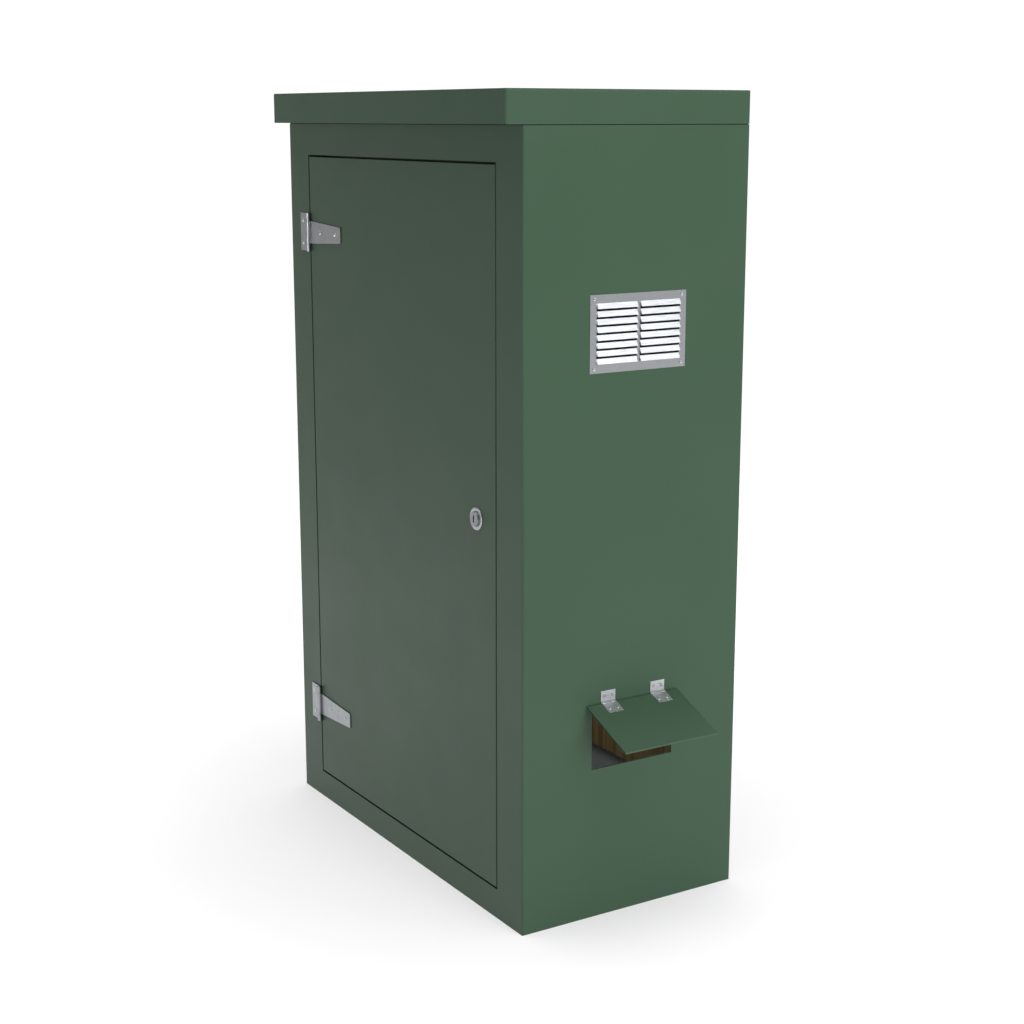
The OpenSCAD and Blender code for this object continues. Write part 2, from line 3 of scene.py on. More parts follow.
import bmesh
import bpy
import numpy as np
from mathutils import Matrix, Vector


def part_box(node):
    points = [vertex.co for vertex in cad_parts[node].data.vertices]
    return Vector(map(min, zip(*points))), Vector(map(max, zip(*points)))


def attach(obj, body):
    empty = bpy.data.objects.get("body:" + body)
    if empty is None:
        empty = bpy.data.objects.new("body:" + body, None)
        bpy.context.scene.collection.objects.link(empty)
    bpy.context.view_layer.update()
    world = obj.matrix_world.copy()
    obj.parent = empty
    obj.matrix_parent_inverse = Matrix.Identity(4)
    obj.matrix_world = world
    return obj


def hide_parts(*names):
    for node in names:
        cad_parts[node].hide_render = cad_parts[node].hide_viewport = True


# A glass-fibre roadside cabinet: gelcoat shell, door and roof, pressed hinges, a louvred vent,
# a quarter-turn lock, foam seals and a plywood board. Metres; X across the door, Y to the back, Z up.
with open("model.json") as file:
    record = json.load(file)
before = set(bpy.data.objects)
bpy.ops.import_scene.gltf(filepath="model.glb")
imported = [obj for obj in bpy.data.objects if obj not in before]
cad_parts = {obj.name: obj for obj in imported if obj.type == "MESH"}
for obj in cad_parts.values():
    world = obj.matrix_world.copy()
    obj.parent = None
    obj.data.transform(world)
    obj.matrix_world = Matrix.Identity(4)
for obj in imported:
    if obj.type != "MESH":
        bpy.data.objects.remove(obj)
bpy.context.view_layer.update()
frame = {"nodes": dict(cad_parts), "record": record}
record = frame["record"]
mm = 0.001


def linearColour(hexText):
    # an sRGB hex colour as the linear colour that shaders want
    parts = np.array([int(hexText[i:i + 2], 16) for i in (1, 3, 5)]) / 255
    linear = np.where(parts <= 0.04045, parts / 12.92, ((parts + 0.055) / 1.055) ** 2.4)
    return (*linear.tolist(), 1.0)


def addNode(tree, kind, settings=None, inputs=None):
    # one node with its settings, and each input either linked or given a value
    node = tree.nodes.new(kind)
    for key, value in (settings or {}).items():
        setattr(node, key, value)
    for key, value in (inputs or {}).items():
        if isinstance(value, bpy.types.NodeSocket):
            tree.links.new(value, node.inputs[key])
        else:
            node.inputs[key].default_value = value
    return node


def newMaterial(name, constants):
    # a named material, its tree, its shader and the object coordinates that its patterns read
    material = bpy.data.materials.new(name)
    material.use_nodes = True
    tree = material.node_tree
    shader = tree.nodes["Principled BSDF"]
    for key, value in constants.items():
        shader.inputs[key].default_value = value
    place = addNode(tree, "ShaderNodeTexCoord").outputs["Object"]
    return material, tree, shader, place


def noiseAt(tree, place, size, detail=2.0, stretch=(1, 1, 1), rough=0.5):
    # noise whose features are about `size` metres, stretched along an axis by a smaller factor
    mapped = addNode(tree, "ShaderNodeMapping", {}, {"Vector": place, "Scale": stretch})
    noise = addNode(tree, "ShaderNodeTexNoise", {}, {
        "Vector": mapped.outputs[0], "Scale": 1 / size, "Detail": detail, "Roughness": rough})
    return noise.outputs["Fac"]


def spread(tree, value, low, high, fromLow=0.3, fromHigh=0.7):
    # a noise value spread over low..high
    return addNode(tree, "ShaderNodeMapRange", {}, {
        "Value": value, "From Min": fromLow, "From Max": fromHigh,
        "To Min": low, "To Max": high}).outputs[0]


def mixColours(tree, factor, first, second, blend="MIX"):
    return addNode(tree, "ShaderNodeMix", {"data_type": "RGBA", "blend_type": blend}, {
        0: factor, 6: first, 7: second}).outputs[2]


def maths(tree, operation, first, second):
    return addNode(tree, "ShaderNodeMath", {"operation": operation}, {0: first, 1: second}).outputs[0]


def bumpChain(tree, shader, layers):
    # bumps laid over one another: each layer is (height, strength, depth in metres)
    below = None
    for height, strength, depth in layers:
        bump = addNode(tree, "ShaderNodeBump", {}, {
            "Height": height, "Strength": strength, "Distance": depth})
        if below is not None:
            tree.links.new(below, bump.inputs["Normal"])
        below = bump.outputs[0]
    tree.links.new(below, shader.inputs["Normal"])


gelcoat = {
    "green": "#334a38",        # outside gelcoat
    "greenWorn": "#364d3b",    # where it has chalked a little
    "chalk": 0.5,              # size of the chalked areas
    "specular": 0.24,
    "gloss": (0.33, 0.4),      # roughness outside, least and most
    "glossSize": 0.12,         # size of the areas where it changes
    "peel": (4 * mm, 0.15 * mm),      # orange peel: size and depth
    "wave": (0.35, 6 * mm),           # slow ripple of a big hand-laid panel
    "grey": "#a6a9ab",         # brushed flowcoat inside
    "thin": (0.09, 0.78),      # its thinner patches: size, and how much darker
    "matt": 0.55,              # roughness inside
    "strand": (22 * mm, 1.2 * mm),    # chopped strands under the flowcoat: length and depth
    "strandColour": (0.3, 0.32, 0.3, 1),
    "strandTurns": (0.4, 1.5, 2.6),   # directions they lie in
    "strandSlim": 14,          # how much longer than wide
}


def insideBoxes(tree, place, boxes):
    # 1 inside any of the boxes, 0 outside: each axis is compared with the box's half size
    total = None
    for low, high in boxes:
        centre = [(a + b) / 2 for a, b in zip(low, high)]
        half = [(b - a) / 2 for a, b in zip(low, high)]
        away = addNode(tree, "ShaderNodeVectorMath", {"operation": "SUBTRACT"}, {0: place, 1: centre})
        away = addNode(tree, "ShaderNodeVectorMath", {"operation": "ABSOLUTE"}, {0: away.outputs[0]})
        axes = addNode(tree, "ShaderNodeSeparateXYZ", {}, {0: away.outputs[0]})
        hit = None
        for axis in range(3):
            near = maths(tree, "LESS_THAN", axes.outputs[axis], half[axis])
            hit = near if hit is None else maths(tree, "MULTIPLY", hit, near)
        total = hit if total is None else maths(tree, "MAXIMUM", total, hit)
    return total


def glassFibre(name, insides, recesses=()):
    # Polyester gelcoat over chopped strand mat, moulded: satin green outside with faint orange peel
    # and slow ripple; inside it is brushed grey flowcoat with the strands showing through. It is grey
    # in the boxes `insides`, except where they overlap the boxes `recesses`
    material, tree, shader, place = newMaterial(name, {"Specular IOR Level": gelcoat["specular"]})
    chalk = spread(tree, noiseAt(tree, place, gelcoat["chalk"], 3), 0, 1)
    outside = mixColours(tree, chalk, linearColour(gelcoat["green"]), linearColour(gelcoat["greenWorn"]))
    (peelSize, peelDeep), (waveSize, waveDeep) = gelcoat["peel"], gelcoat["wave"]
    moulded = [(noiseAt(tree, place, waveSize, 1), 0.25, waveDeep),
               (noiseAt(tree, place, peelSize, 1), 0.12, peelDeep)]
    gloss = spread(tree, noiseAt(tree, place, gelcoat["glossSize"], 4), *gelcoat["gloss"])
    if not insides:
        tree.links.new(outside, shader.inputs["Base Color"])
        tree.links.new(gloss, shader.inputs["Roughness"])
        bumpChain(tree, shader, moulded)
        return material
    within = insideBoxes(tree, place, insides)
    if recesses:
        recessed = insideBoxes(tree, place, recesses)
        within = maths(tree, "MULTIPLY", within, maths(tree, "SUBTRACT", 1.0, recessed))
    strands = None
    strandLong, strandDeep = gelcoat["strand"]
    for turn in gelcoat["strandTurns"]:
        lying = addNode(tree, "ShaderNodeMapping", {}, {
            "Vector": place, "Rotation": (turn, turn * 1.7, turn * 0.6),
            "Scale": (1, gelcoat["strandSlim"], gelcoat["strandSlim"])})
        threads = addNode(tree, "ShaderNodeTexNoise", {}, {
            "Vector": lying.outputs[0], "Scale": 1 / strandLong, "Detail": 1.0}).outputs[0]
        strands = threads if strands is None else maths(tree, "MAXIMUM", strands, threads)
    thinSize, thinShade = gelcoat["thin"]
    grey = linearColour(gelcoat["grey"])
    thinGrey = tuple(thinShade * part for part in grey[:3]) + (1.0,)
    inside = mixColours(tree, spread(tree, noiseAt(tree, place, thinSize, 4), 0, 1), grey, thinGrey)
    showing = spread(tree, strands, 0, 0.35, 0.55, 0.8)
    inside = mixColours(tree, showing, inside, gelcoat["strandColour"])
    tree.links.new(mixColours(tree, within, outside, inside), shader.inputs["Base Color"])
    rough = addNode(tree, "ShaderNodeMix", {"data_type": "FLOAT"}, {
        0: within, 2: gloss, 3: gelcoat["matt"]})
    tree.links.new(rough.outputs[0], shader.inputs["Roughness"])
    strandHeight = maths(tree, "MULTIPLY", strands, within)
    bumpChain(tree, shader, [*moulded, (strandHeight, 0.5, strandDeep)])
    return material


plywood = {
    "face": "#8d7854", "late": "#655233",   # early and late wood
    "specular": 0.25,
    "ply": 1.5 * mm, "crossPly": 0.62,      # ply thickness, and the shade of every other ply
    "grain": 9 * mm, "fibre": 1.6 * mm,     # spacing of the rings and of the fibres
    "sway": 70 * mm, "swaySize": 0.35,      # how far the rings wander, and over what height
}


def plywoodMaterial(boardFront):
    # Exterior softwood ply, rotary cut: warm brown, upright grain with darker late wood,
    # and stripes of alternate plies where the edge is cut
    material, tree, shader, place = newMaterial(
        "exteriorPlywood", {"Specular IOR Level": plywood["specular"]})
    axes = addNode(tree, "ShaderNodeSeparateXYZ", {}, {0: place})
    # growth rings are noise over x alone once x has been shifted by a slow noise that runs up the board
    sway = noiseAt(tree, place, plywood["swaySize"], 2, (1, 1, 0.3))
    across = addNode(tree, "ShaderNodeMath", {"operation": "MULTIPLY_ADD"}, {
        0: sway, 1: plywood["sway"], 2: axes.outputs[0]}).outputs[0]
    upward = maths(tree, "MULTIPLY", axes.outputs[2], 0.02)
    ringPlace = addNode(tree, "ShaderNodeCombineXYZ", {}, {0: across, 2: upward})
    bands = noiseAt(tree, ringPlace.outputs[0], plywood["grain"], 3)
    fibre = noiseAt(tree, place, plywood["fibre"], 3, (1, 1, 0.03))
    late = spread(tree, maths(tree, "ADD", bands, maths(tree, "MULTIPLY", fibre, 0.35)), 0, 1, 0.5, 0.85)
    face = mixColours(tree, late, linearColour(plywood["face"]), linearColour(plywood["late"]))
    depth = maths(tree, "SUBTRACT", axes.outputs[1], boardFront)
    ply = maths(tree, "FLOOR", maths(tree, "DIVIDE", depth, plywood["ply"]), 0.0)
    odd = maths(tree, "MODULO", ply, 2.0)
    plyShade = spread(tree, odd, 1.0, plywood["crossPly"], 0, 1)
    shaded = mixColours(tree, 1.0, face, plyShade, "MULTIPLY")
    tree.links.new(shaded, shader.inputs["Base Color"])
    tree.links.new(spread(tree, fibre, 0.6, 0.78), shader.inputs["Roughness"])
    bumpChain(tree, shader, [(late, 0.3, 0.4 * mm), (fibre, 0.5, 0.25 * mm)])
    return material


softwood = {"pale": "#b08a58", "dark": "#8a6236", "specular": 0.25, "fibre": 2 * mm, "rings": 12 * mm}


def softwoodMaterial():
    # Sawn softwood batten: pale, grain along its length, rough from the saw
    material, tree, shader, place = newMaterial(
        "sawnSoftwood", {"Specular IOR Level": softwood["specular"]})
    fibre = noiseAt(tree, place, softwood["fibre"], 4, (0.04, 1, 1))
    rings = noiseAt(tree, place, softwood["rings"], 2, (0.06, 1, 1))
    pale, dark = linearColour(softwood["pale"]), linearColour(softwood["dark"])
    colour = mixColours(tree, spread(tree, rings, 0, 1), pale, dark)
    tree.links.new(colour, shader.inputs["Base Color"])
    tree.links.new(spread(tree, fibre, 0.65, 0.85), shader.inputs["Roughness"])
    bumpChain(tree, shader, [(rings, 0.2, 0.5 * mm), (fibre, 0.6, 0.4 * mm)])
    return material


metals = {
    # slot or piece: real finish, colour, second colour, roughness low and high, size of the film's
    # patches, how they are stretched
    "galvanised_steel": ("brightZincPlatedHinge", "#9fa1a3", "#95989b", 0.28, 0.38, 14 * mm, (1, 1, 1)),
    "zinc_plated_steel": ("zincPlatedFastener", "#cdd0d4", "#c3c7cb", 0.24, 0.32, 6 * mm, (1, 1, 1)),
    "mill_aluminium": ("millFinishAluminium", "#b9bcc0", "#afb2b6", 0.26, 0.36, 1.2 * mm, (1, 0.05, 1)),
    "lock_zinc": ("dieCastZincLock", "#b0b4b7", "#a6aaad", 0.34, 0.42, 4 * mm, (1, 1, 1)),
    "rolled_leaf": ("zincPlatedSheet", "#bcbfc2", "#b4b7ba", 0.32, 0.4, 12 * mm, (1, 1, 1)),
    "turning_insert": ("dieCastZincInsert", "#96999c", "#8e9194", 0.38, 0.46, 4 * mm, (1, 1, 1)),
}
metalSurface = {"film": 0.15 * mm, "grain": 0.6 * mm, "grainDeep": 0.03 * mm}    # depth, size, depth


def metalMaterial(slot):
    # Metal with a thin uneven film: the film's patches change colour and gloss a little, and a
    # fine grain breaks the highlight
    name, light, dark, roughLow, roughHigh, patchSize, stretch = metals[slot]
    material, tree, shader, place = newMaterial(name, {"Metallic": 1.0})
    patches = noiseAt(tree, place, patchSize, 3, stretch)
    fine = noiseAt(tree, place, metalSurface["grain"], 2, stretch)
    colour = mixColours(tree, spread(tree, patches, 0, 1), linearColour(light), linearColour(dark))
    tree.links.new(colour, shader.inputs["Base Color"])
    tree.links.new(spread(tree, patches, roughLow, roughHigh), shader.inputs["Roughness"])
    bumpChain(tree, shader, [
        (patches, 0.06, metalSurface["film"]), (fine, 0.12, metalSurface["grainDeep"])])
    return material


foam = {"face": "#1d1d1e", "wall": "#0f0f10", "specular": 0.2, "cell": 1.1 * mm, "deep": 0.3 * mm}


def foamMaterial():
    # Closed-cell EPDM foam strip: matt black with a fine cellular skin
    material, tree, shader, place = newMaterial("closedCellFoam", {"Specular IOR Level": foam["specular"]})
    pattern = addNode(tree, "ShaderNodeTexVoronoi", {}, {"Vector": place, "Scale": 1 / foam["cell"]})
    cells = pattern.outputs["Distance"]
    colour = mixColours(tree, cells, linearColour(foam["face"]), linearColour(foam["wall"]))
    tree.links.new(colour, shader.inputs["Base Color"])
    tree.links.new(spread(tree, cells, 0.7, 0.9, 0, 1), shader.inputs["Roughness"])
    bumpChain(tree, shader, [(cells, 0.5, foam["deep"])])
    return material


def nodeBox(name):
    low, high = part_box(name)
    return np.array(low), np.array(high)


# Grey shows between the walls, just short of their inner faces, except in the doorway's recess
shellLow, shellHigh = nodeBox("body_shell")
doorLow, doorHigh = nodeBox("door_panel")
roofLow, roofHigh = nodeBox("roof")
inner = 5 * mm - 0.4 * mm      # wall, less a margin
far = 1                        # beyond every face
rim = 4.5 * mm                 # green round the door's edge
behind = 5 * mm                # and behind the door
shellInside = (shellLow + (inner, inner, -far), shellHigh + (-inner, -inner, far))
recess = (doorLow + (-rim, -far, -rim), doorHigh + (rim, behind, rim))
doorInside = (doorLow + (inner, inner, inner), doorHigh + (-inner, far, -inner))
roofInside = (roofLow + (inner, inner, inner), roofHigh - (inner, inner, inner))

boardLow = nodeBox("backboard")[0]
slotMaterials = {
    "gelcoat_green": glassFibre("greenGelcoat", []),
    "plywood": plywoodMaterial(float(boardLow[1])),
    "softwood": softwoodMaterial(),
    "foam_rubber": foamMaterial(),
}
for metal in metals:
    slotMaterials[metal] = metalMaterial(metal)
nodeMaterials = {
    "body_shell": glassFibre("greenGelcoatShell", [shellInside], [recess]),
    "door_panel": glassFibre("greenGelcoatDoor", [doorInside]),
    "roof": glassFibre("greenGelcoatRoof", [roofInside]),
}
for part in record["subparts"]:
    node = frame["nodes"][part["node"]]
    node.data.materials.clear()
    node.data.materials.append(nodeMaterials.get(part["node"], slotMaterials[part["material_slot"]]))
print("materials on", len(record["subparts"]), "nodes")


weld = 1e-6        # points closer than this are one
bevelFrom = 40     # degrees: sharper edges are rounded


def surface(name, points, wrapRows=False, wrapColumns=False, keep=None, sheet=0.0, bevel=0.0, smooth=35):
    # Quads over grids of points shaped (copies, rows, columns, 3). wrap joins the last row or column
    # to the first, keep says which quads stay, sheet gives an open surface its thickness, and bevel
    # rounds its sharp edges
    points = np.asarray(points, float)
    if points.ndim == 3:
        points = points[None]
    copies, rows, columns = points.shape[:3]
    index = np.arange(copies * rows * columns).reshape(copies, rows, columns)
    if wrapRows:
        index = np.concatenate([index, index[:, :1]], axis=1)
    if wrapColumns:
        index = np.concatenate([index, index[:, :, :1]], axis=2)
    quads = np.stack([index[:, :-1, :-1], index[:, 1:, :-1], index[:, 1:, 1:], index[:, :-1, 1:]], axis=-1)
    if keep is not None:
        quads = quads[:, keep]
    mesh = bpy.data.meshes.new(name)
    mesh.from_pydata(points.reshape(-1, 3), [], quads.reshape(-1, 4).tolist())
    work = bmesh.new()
    work.from_mesh(mesh)
    bmesh.ops.delete(work, geom=[v for v in work.verts if not v.link_faces], context="VERTS")
    bmesh.ops.remove_doubles(work, verts=work.verts, dist=weld)
    bmesh.ops.recalc_face_normals(work, faces=work.faces)
    work.to_mesh(mesh)
    work.free()
    piece = bpy.data.objects.new(name, mesh)
    bpy.context.scene.collection.objects.link(piece)
    if sheet:
        solid = piece.modifiers.new("thickness", "SOLIDIFY")
        solid.thickness = sheet
        solid.offset = 0
        solid.use_even_offset = True
    if bevel:
        edge = piece.modifiers.new("edges", "BEVEL")
        edge.width = bevel
        edge.segments = 2
        edge.limit_method = "ANGLE"
        edge.angle_limit = np.radians(bevelFrom)
    if sheet or bevel:
        applyModifiers(piece)
    shade(piece, smooth, bool(bevel))
    return piece


def shade(piece, smooth, weighted=False):
    # smooth with sharp edges kept; weighting keeps flat faces flat between rounded edges
    piece.data.shade_smooth()
    piece.data.set_sharp_from_angle(angle=np.radians(smooth))
    if weighted:
        normals = piece.modifiers.new("normals", "WEIGHTED_NORMAL")
        normals.keep_sharp = True
        applyModifiers(piece)


def applyModifiers(piece):
    shown = piece.evaluated_get(bpy.context.evaluated_depsgraph_get())
    finished = bpy.data.meshes.new_from_object(shown)
    piece.modifiers.clear()
    piece.data = finished


def finishPiece(piece, nodes, material=None):
    # the piece stands for these CAD nodes: same body, same slot, same material
    first = nodes[0]
    slotName = next(p["material_slot"] for p in record["subparts"] if p["node"] == first)
    body = next(b for b, members in record["behaviour"]["bodies"].items() if first in members)
    piece.data.materials.clear()
    piece.data.materials.append(material or slotMaterials[slotName])
    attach(piece, body)
    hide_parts(*nodes)
    return piece


def placed(points, origins, right, up):
    # local (x, y, z) points set at each origin: x along right, y along up, z along their cross product
    right, up = np.array(right, float), np.array(up, float)
    turn = np.stack([right, up, np.cross(right, up)])
    return points[None] @ turn + np.asarray(origins, float).reshape(-1, 1, 1, 3)


onDoorSide = {"right": (1, 0, 0), "up": (0, 0, 1)}      # faces -Y
onRightSide = {"right": (0, 1, 0), "up": (0, 0, 1)}     # faces +X


def turned(profile, steps=48):
    # a profile of (radius, height) carried round the Z axis
    angle = np.linspace(0, 2 * np.pi, steps, endpoint=False)
    radius, height = np.asarray(profile, float).T
    x = radius[:, None] * np.cos(angle)
    y = radius[:, None] * np.sin(angle)
    return np.stack([x, y, np.broadcast_to(height[:, None], x.shape)], axis=-1)


def smoothStep(value, low, high):
    t = np.clip((value - low) / (high - low), 0, 1)
    return t * t * (3 - 2 * t)


headShape = {
    # as parts of the head's radius, but the rim of its height
    "rim": 0.22, "crossArm": 0.5, "crossHalf": 0.09, "dimple": (0.22, 0.42), "flatEdge": 0.9,
}


def domedHead(radius, height, shank, length, cross=0.0, dimple=0.0):
    # A head whose height falls as the root of 1 - (r / R)^2 over a short upright rim, then the shank.
    # A cross lowers it where |x| or |y| is near the axis inside the arm; a dimple is a round dip
    ring = np.linspace(0, 1, 22) ** 0.8      # closer together towards the rim
    rim = headShape["rim"] * height
    top = rim + (height - rim) * np.sqrt(np.clip(1 - ring ** 2, 0, 1))
    below = [(radius, 0), (shank, 0), (shank, -length + 0.4 * shank), (0.6 * shank, -length), (0, -length)]
    points = turned([*zip(ring * radius, top), *below], 64)
    x, y = points[..., 0], points[..., 1]
    r = np.hypot(x, y)
    head = (points[..., 2] > rim * 0.5) & (r < headShape["flatEdge"] * radius)
    if cross:
        arm, half = headShape["crossArm"] * radius, headShape["crossHalf"] * radius
        near = np.minimum(np.abs(x), np.abs(y))
        cut = (1 - smoothStep(near, half * 0.7, half * 1.4)) * (1 - smoothStep(r, arm * 0.85, arm * 1.1))
        points[..., 2] -= np.where(head, cut * cross, 0)
    if dimple:
        flat, edge = headShape["dimple"]
        dip = 1 - smoothStep(r, flat * radius, edge * radius)
        points[..., 2] -= np.where(head, dip * dimple, 0)
    return points


def islandCentres(name):
    # the middle of each separate solid of a CAD node, in the order that the node lists them: its loose
    # triangles are joined at shared corners, and the corners that edges link make one solid
    work = bmesh.new()
    work.from_mesh(frame["nodes"][name].data)
    bmesh.ops.remove_doubles(work, verts=work.verts, dist=weld)
    seen, centres = set(), []
    for start in work.verts:
        if start in seen:
            continue
        seen.add(start)
        linked = [start]
        for vertex in linked:      # grows as it is walked
            for edge in vertex.link_edges:
                other = edge.other_vert(vertex)
                if other not in seen:
                    seen.add(other)
                    linked.append(other)
        corners = np.array([vertex.co for vertex in linked])
        centres.append((corners.min(0) + corners.max(0)) / 2)
    work.free()
    return np.array(centres)


frontY = float(shellLow[1])
sideX = float(shellHigh[0])
hingeFace = frontY - 2.6 * mm
screws = {
    # node: head radius and height, shank radius and length, cross depth, its seat's axis and level, facing
    "strap_screws": (4.2, 2.6, 2.5, 13.6, 1.3, 1, hingeFace, onDoorSide),
    "hinge_leaf_screws": (4.2, 2.6, 2.5, 13.6, 1.3, 1, hingeFace, onDoorSide),
    "vent_screws": (3.2, 1.8, 1.75, 14, 0.6, 0, sideX + 1.2 * mm, onRightSide),
    "backboard_screws": (4.0, 2.4, 2.0, 30, 1.2, 1, float(boardLow[1]), onDoorSide),
}
for node, (head, high, shank, length, cross, axis, level, facing) in screws.items():
    seats = islandCentres(node)
    seats[:, axis] = level
    points = domedHead(head * mm, high * mm, shank * mm, length * mm, cross * mm)
    finishPiece(surface(node + "Crosshead", placed(points, seats, **facing), wrapColumns=True), [node])
print("screws made")

rivetHead = {"radius": 3.2, "height": 1.4, "shank": 1.6, "grip": 6, "dimple": 0.5}
flapJoint = next(j for j in record["behaviour"]["joints"] if j["name"] == "flap_hinge")
flapPin = np.array(flapJoint["pos_m"])
flapAngle = np.radians(67.5)      # the flap stands this far from the wall
alongFlap = np.array([np.sin(flapAngle), 0, -np.cos(flapAngle)])
outOfFlap = np.array([np.cos(flapAngle), 0, np.sin(flapAngle)])
onFlap = {"right": alongFlap, "up": (0, 1, 0)}
flapHinge = {
    "y": [-62, 61], "width": 35, "knuckle": 10, "sheet": 1.0, "curl": 1.65, "pin": 1.0,
    "wallLeaf": 26, "flapLeaf": 31, "pinOut": 3.2, "face": 1.2,
    "rivetY": 9.5, "wallRivet": 16, "flapRivet": 21,
    "wallNotch": 1.95, "flapNotch": 2.1,      # how far from the pin the plates are cut away
    "clear": 0.3, "edge": 0.2, "pinHead": 1.7, "peen": 0.8,
}
rivetSizes = [rivetHead[key] * mm for key in ("radius", "height", "shank", "grip")]
rivetShape = domedHead(*rivetSizes, 0, rivetHead["dimple"] * mm)
hingeY = [y + side for y in flapHinge["y"] for side in (-flapHinge["rivetY"], flapHinge["rivetY"])]
wallSeats = [(sideX + flapHinge["sheet"] * mm, y * mm, flapPin[2] + flapHinge["wallRivet"] * mm)
             for y in hingeY]
flapSeats = [flapPin + (0, y * mm, 0) + flapHinge["flapRivet"] * mm * alongFlap
             + (flapHinge["face"] + flapHinge["sheet"]) * mm * outOfFlap for y in hingeY]
wallRivets = placed(rivetShape, wallSeats, **onRightSide)
flapRivets = placed(rivetShape, flapSeats, **onFlap)
finishPiece(surface("flapWallDomeRivets", wallRivets, wrapColumns=True), ["flap_wall_rivets"])
finishPiece(surface("flapPanelDomeRivets", flapRivets, wrapColumns=True), ["flap_panel_rivets"])


def nutShape(bore, across, thick, chamfer):
    # Radius at each angle is that of a hexagon, but never more than the chamfer cone's at that height
    angle = np.linspace(0, 2 * np.pi, 72, endpoint=False)
    hexagon = across / 2 / np.cos((angle + np.pi / 6) % (np.pi / 3) - np.pi / 6)
    cone = across / 2 / np.cos(np.pi / 6)
    levels = np.array([0, 0, chamfer, thick - chamfer, thick, thick])
    limit = np.array([bore, across / 2, cone, cone, across / 2, bore])
    radius = np.minimum(hexagon[None], limit[:, None])
    radius[[0, -1]] = bore
    height = np.broadcast_to(levels[:, None], radius.shape)
    return np.stack([radius * np.cos(angle), radius * np.sin(angle), height], -1)


nuts = {
    # node: bore radius, width across flats, thickness, chamfer, facing
    "strap_nuts": (2.5, 8, 4, 0.4, onDoorSide),
    "hinge_leaf_nuts": (2.5, 8, 4, 0.4, onDoorSide),
    "lock_nut": (19, 46, 6, 1.2, onDoorSide),
    "roof_nuts": (3, 10, 5, 0.5, {"right": (1, 0, 0), "up": (0, 1, 0)}),
}
for node, (bore, across, thick, chamfer, facing) in nuts.items():
    seats = islandCentres(node)
    outward = np.cross(facing["right"], facing["up"])
    seats = seats - outward * thick * mm / 2
    points = placed(nutShape(bore * mm, across * mm, thick * mm, chamfer * mm), seats, **facing)
    finishPiece(surface(node + "Chamfered", points, wrapRows=True, wrapColumns=True, smooth=25), [node])
print("rivets and nuts made")


def curledPlate(length, halfHeight, pinOut, plateOut, radius, columns, knuckles=None, back=1.0,
                turn=305, under=True):
    # The plate's middle line: straight in from its free end, easing to the pin's circle over the last
    # few millimetres, then `turn` degrees round the pin, which it reaches from below if `under` and
    # else from above. Each row stands halfHeight(distance) tall; knuckles, if given, are the
    # stretches of height that keep the curl, from `back` millimetres before the pin
    sign = 1 if under else -1
    start = pinOut - sign * radius
    endPart, easePart = 3, 8      # stretches with finer steps: the free end and the curl's foot
    ease = 7                      # the plate is flat from this far out
    run = np.unique(np.concatenate([
        np.linspace(length, length - endPart, 7), np.linspace(length - endPart, easePart, 8),
        np.linspace(easePart, 0, 9), [back]]))[::-1]
    out = start + (plateOut - start) * smoothStep(run, 0, ease)
    arc = np.radians(np.linspace(0, turn, 40))[1:]
    u = np.concatenate([run, -radius * np.sin(arc)])
    w = np.concatenate([out, pinOut - sign * radius * np.cos(arc)])
    reach = np.concatenate([run, np.zeros(len(arc))])
    tall = halfHeight(reach)
    points = np.stack(np.broadcast_arrays(u[:, None], tall[:, None] * np.asarray(columns), w[:, None]), -1)
    keep = None
    if knuckles:
        middle = (points[0, 1:, 1] + points[0, :-1, 1]) / 2
        curled = np.concatenate([run[:-1] <= back + 1e-9, np.ones(len(arc), bool)])
        kept = np.zeros(len(middle), bool)
        for low, high in knuckles:
            kept |= (middle > low) & (middle < high)
        keep = ~curled[:, None] | kept[None]
    return points * mm, keep


doorHinge = {
    "z": {"upper": 1362, "lower": 236}, "leafTall": 85, "leafWide": 44, "strapLong": 156,
    "root": 52, "end": 35, "corner": 3, "sheet": 2.6, "edge": 0.45, "notch": 1,
    "pin": 2.6, "pinFit": 0.05, "pinHead": 4, "gap": 0.3, "peen": 1.4,
}
doorJoint = next(j for j in record["behaviour"]["joints"] if j["name"] == "door_hinge")
pinX = doorJoint["pos_m"][0]
barrelMiddle = doorHinge["pin"] + doorHinge["sheet"] / 2
barrelOut = doorHinge["pin"] + doorHinge["sheet"]


def strapHalf(reach):
    # straight taper from root to end, less a round corner at the free end
    tall = (doorHinge["root"] + (doorHinge["end"] - doorHinge["root"]) * reach / doorHinge["strapLong"]) / 2
    past = np.clip(reach - (doorHinge["strapLong"] - doorHinge["corner"]), 0, doorHinge["corner"])
    return tall - doorHinge["corner"] + np.sqrt(doorHinge["corner"] ** 2 - past ** 2)


def peenedPin(radius, head, reach, peen):
    # shank with a hammered dome at both ends
    dome = [(head * np.sin(a), peen * np.cos(a)) for a in np.linspace(0, np.pi / 2, 8)]
    upper = [(r, reach + z) for r, z in dome] + [(radius, reach)]
    return turned(upper + [(r, -z) for r, z in reversed(upper)], 32) * mm


